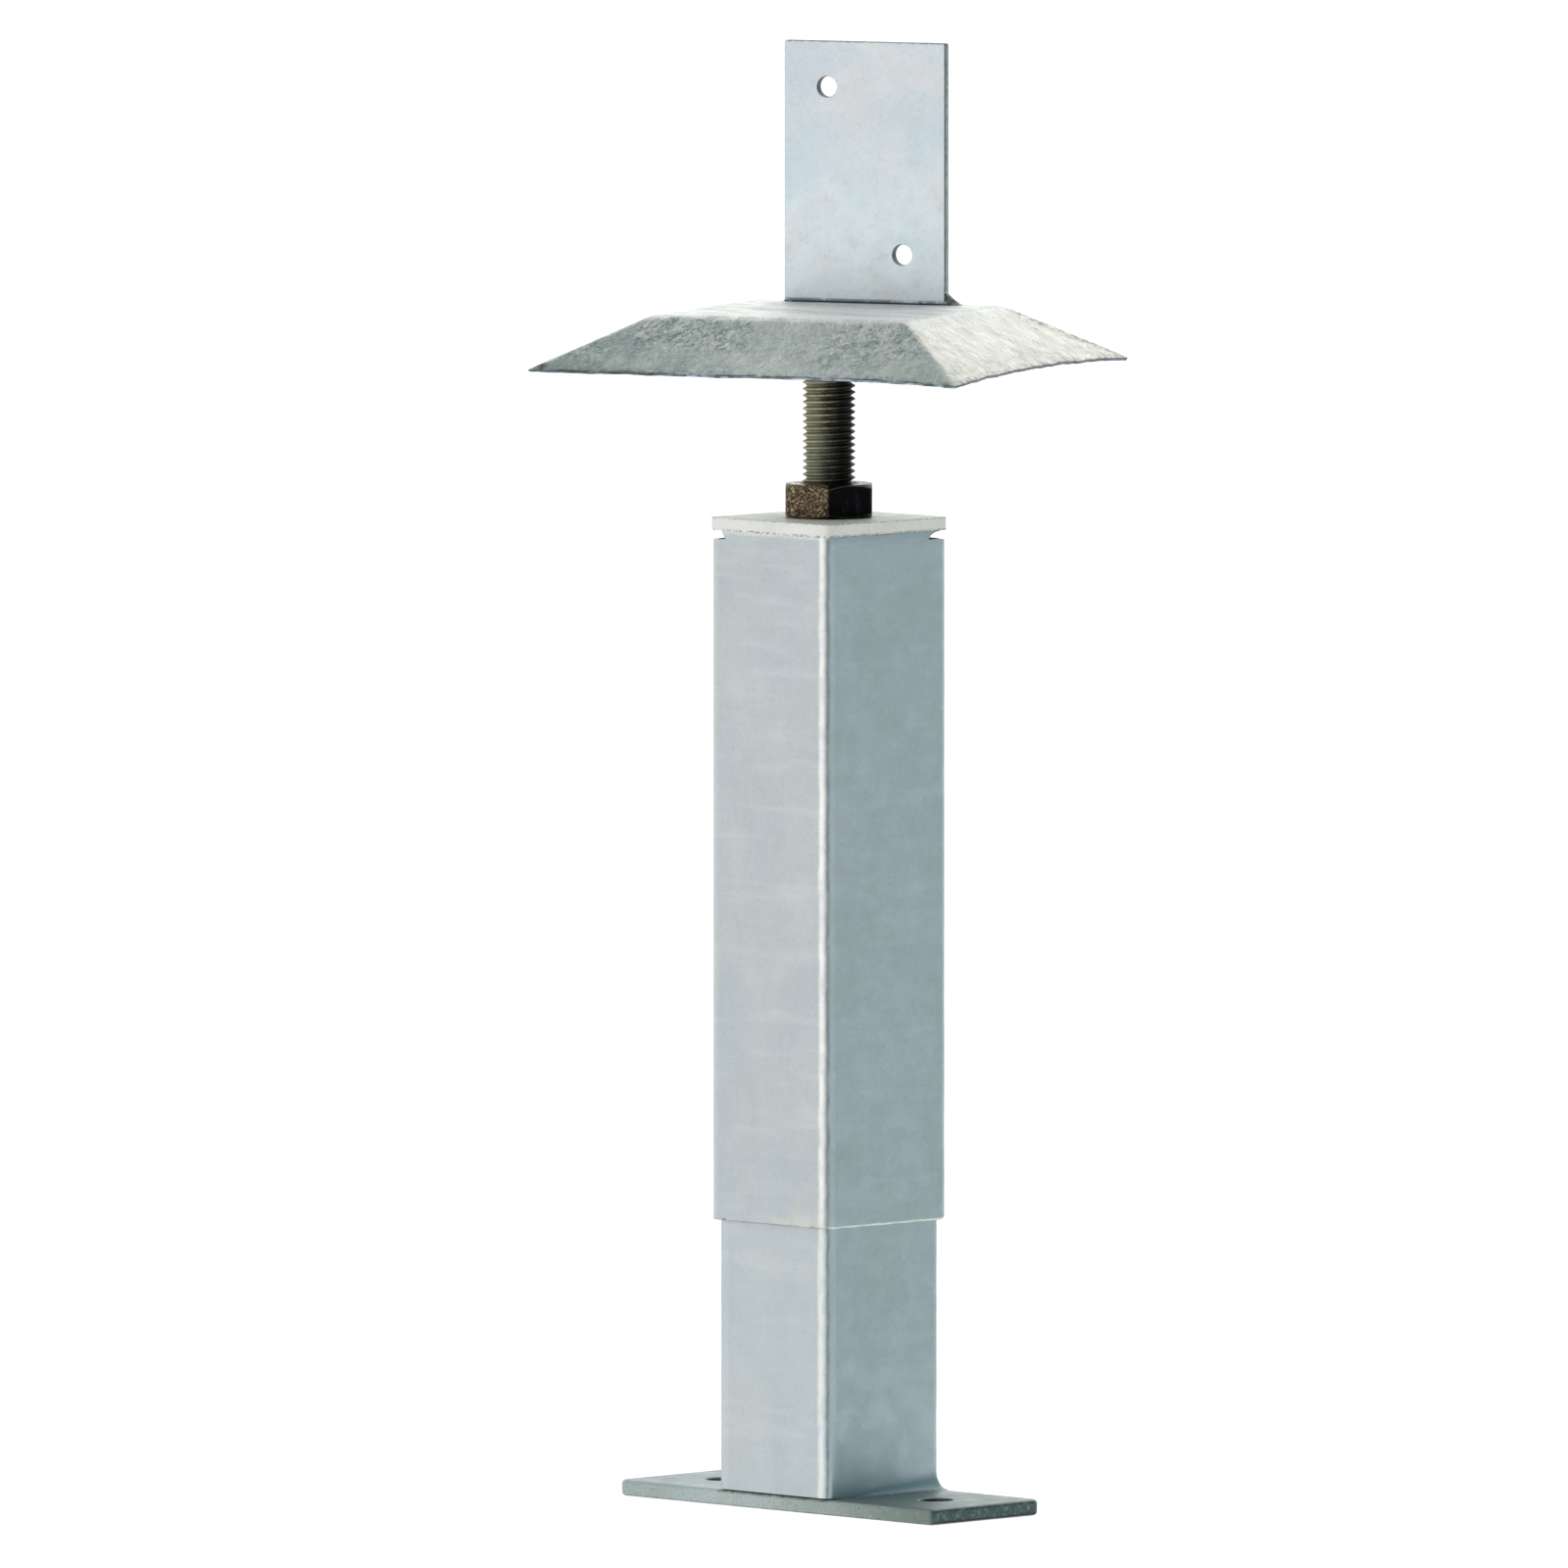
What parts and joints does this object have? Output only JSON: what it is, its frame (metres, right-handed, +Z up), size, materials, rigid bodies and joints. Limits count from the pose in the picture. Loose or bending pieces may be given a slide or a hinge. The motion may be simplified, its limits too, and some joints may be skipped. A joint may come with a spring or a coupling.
{
  "type": "roof bracket",
  "caption": "Height-adjustable roof bracket: base plate, telescoping square tube pedestal on a screw, square rain hood and upright beam fin with fixing holes.",
  "frame": {"origin": "centre of the base plate's underside, on the rod's axis", "axes": "+Z up along the rod; +X along the base plate's long side; +Y across the base plate, towards the side where the fin stands"},
  "size_m": [0.2302, 0.2302, 0.5566],
  "materials": {
    "base_zinc": "galvanised, matt grey-green",
    "tube_zinc": "galvanised, satin blue-grey",
    "plate_zinc": "galvanised, matt whitish",
    "hood_zinc": "galvanised sheet, mottled and slightly dented",
    "fin_zinc": "galvanised, satin light grey",
    "rod_steel": "bare steel, oiled, dark brown",
    "nut_steel": "bare steel, speckled dark brown",
    "inner_steel": "zinc plated, dull",
    "weld": "rippled weld bead under zinc"
  },
  "bodies": {
    "base": {"base_plate": "base_zinc", "inner_tube": "tube_zinc", "foot_weld_right": "weld", "foot_weld_left": "weld", "insert_plate": "inner_steel", "insert_nut": "inner_steel"},
    "sleeve": {"outer_tube": "tube_zinc", "top_plate": "plate_zinc", "top_weld_front": "weld", "top_weld_right": "weld", "top_weld_back": "weld", "top_weld_left": "weld"},
    "head": {"threaded_rod": "rod_steel", "washer": "inner_steel", "jam_nut": "inner_steel", "rain_hood": "hood_zinc", "seat_plate": "inner_steel", "rod_weld": "weld", "fin_plate": "fin_zinc", "fin_weld_back": "weld", "fin_weld_end": "weld", "fin_weld_end_left": "weld"},
    "lock_nut": {"lock_nut": "nut_steel"}
  },
  "joints": [
    {"name": "sleeve_lift", "type": "slide", "parent": "base", "child": "sleeve", "axis": [0, 0, 1], "range_m": [-0.0951, 0.0751]},
    {"name": "head_turn", "type": "hinge", "parent": "sleeve", "child": "head", "pos_m": [0, 0, 0.4], "axis": [0, 0, 1], "range_deg": [-13680, 10800]},
    {"name": "nut_spin", "type": "hinge", "parent": "head", "child": "lock_nut", "pos_m": [0, 0, 0.385], "axis": [0, 0, 1], "continuous": true}
  ],
  "couplings": [
    {"joint": "sleeve_lift", "follows": "head_turn", "m_per_rad": 0.00039789}
  ]
}
